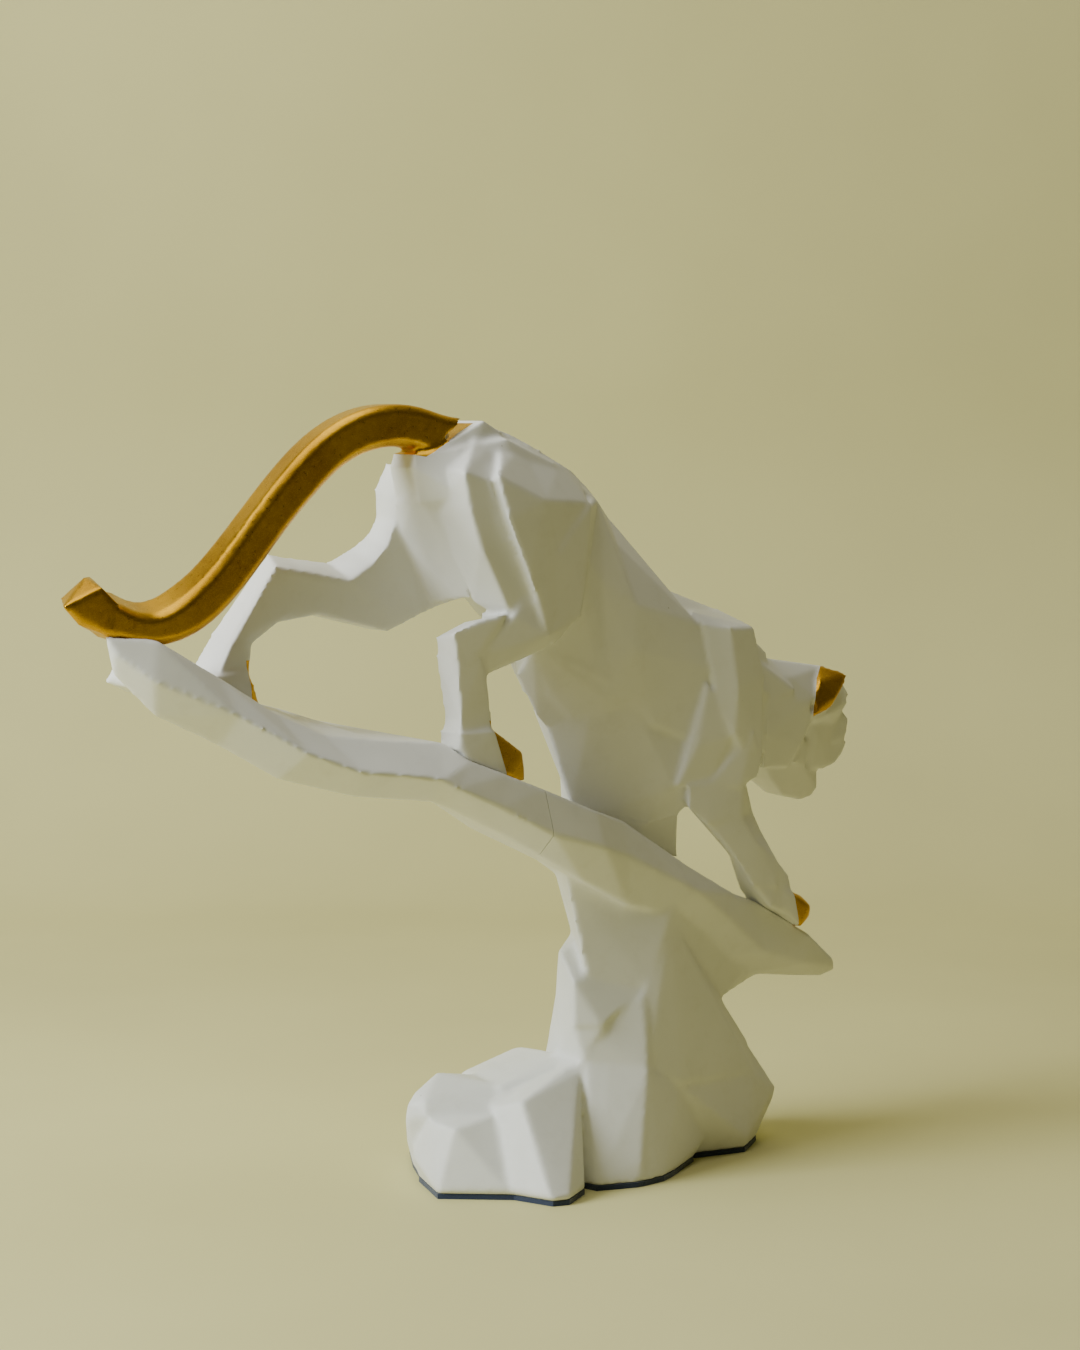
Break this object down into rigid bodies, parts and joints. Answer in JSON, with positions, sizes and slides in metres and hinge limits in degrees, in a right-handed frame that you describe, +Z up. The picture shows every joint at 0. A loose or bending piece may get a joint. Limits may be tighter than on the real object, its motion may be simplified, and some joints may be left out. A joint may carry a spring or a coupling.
{
  "type": "figure trophy",
  "caption": "Faceted white big cat with a gold tail, ears and toes, walking down a rock ledge that overhangs its rough stone foot.",
  "frame": {"origin": "middle of the base, on the surface the felt pad rests on", "axes": "+X the way the cat walks and looks, +Y towards its left side, +Z up"},
  "size_m": [0.3655, 0.1065, 0.2995],
  "materials": {
    "white_resin": "matt white paint over cast resin",
    "gold_paint": "satin metallic gold paint",
    "navy_felt": "short pile felt",
    "raw_resin": "bare cast resin",
    "ballast": "plaster and sand fill",
    "steel": "plain drawn wire"
  },
  "bodies": {
    "root": {"cat_casting": "white_resin", "rock_casting": "white_resin", "ledge_casting": "white_resin", "tail": "gold_paint", "gold_ear_right": "gold_paint", "gold_ear_left": "gold_paint", "gold_toes_right_hind": "gold_paint", "gold_toes_left_hind": "gold_paint", "gold_toes_right_fore": "gold_paint", "gold_toes_left_fore": "gold_paint", "felt_pad": "navy_felt", "bottom_plate": "raw_resin", "ballast_block": "ballast", "seam_rod": "steel", "tail_pin": "steel", "right_hind_pin": "steel", "left_hind_pin": "steel", "chest_pin": "steel"}
  },
  "joints": []
}
